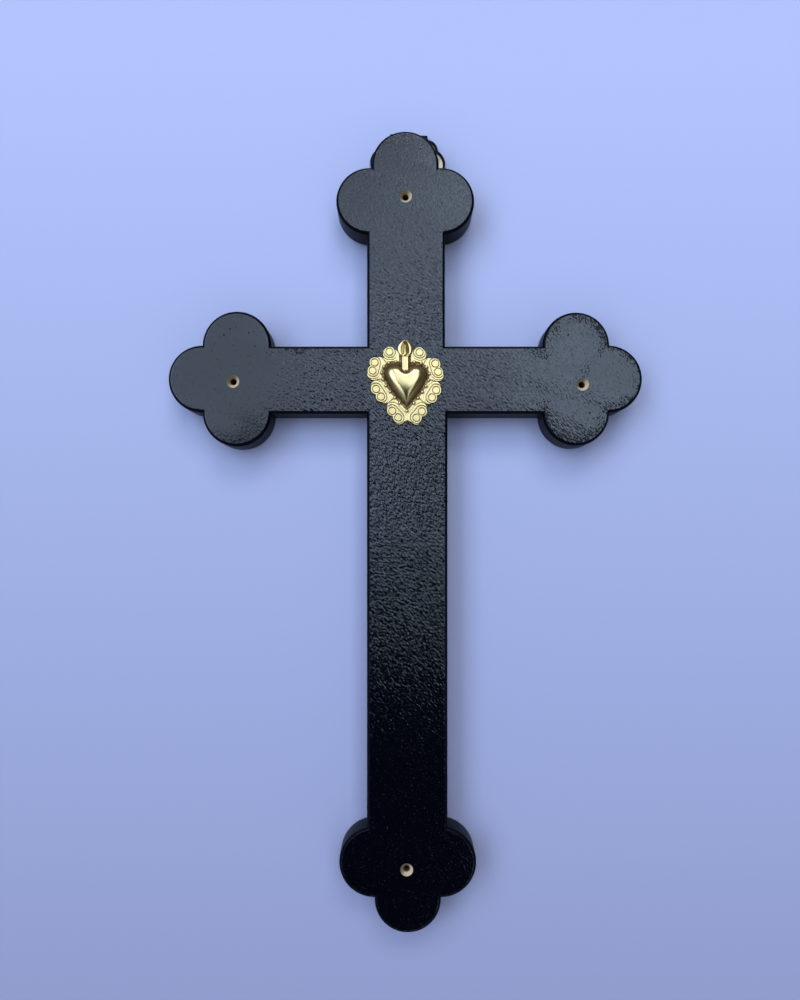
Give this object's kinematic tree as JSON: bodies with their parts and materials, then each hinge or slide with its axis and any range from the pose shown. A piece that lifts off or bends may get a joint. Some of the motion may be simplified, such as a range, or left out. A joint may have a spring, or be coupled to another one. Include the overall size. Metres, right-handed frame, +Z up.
{
  "type": "budded wall cross",
  "caption": "Black painted wooden cross with trefoil ends, countersunk holes, a stamped gold heart charm at its crossing and a brass hanger plate behind the top.",
  "frame": {"origin": "centre of the nail hole in the hanger plate, in the plane of the wall that the cross hangs on", "axes": "+Z up along the stem, +X to the viewer's right, -Y out of the wall towards the viewer; the board's back lies in the plane Y = 0"},
  "size_m": [0.1775, 0.0167, 0.3047],
  "materials": {
    "board_paint": "gloss black paint with a light stipple",
    "charm_gold": "bright gold stamping",
    "hanger_brass": "dark aged brass"
  },
  "bodies": {
    "root": {"cross_board": "board_paint", "heart_charm": "charm_gold", "hanger_plate": "hanger_brass"}
  },
  "joints": []
}
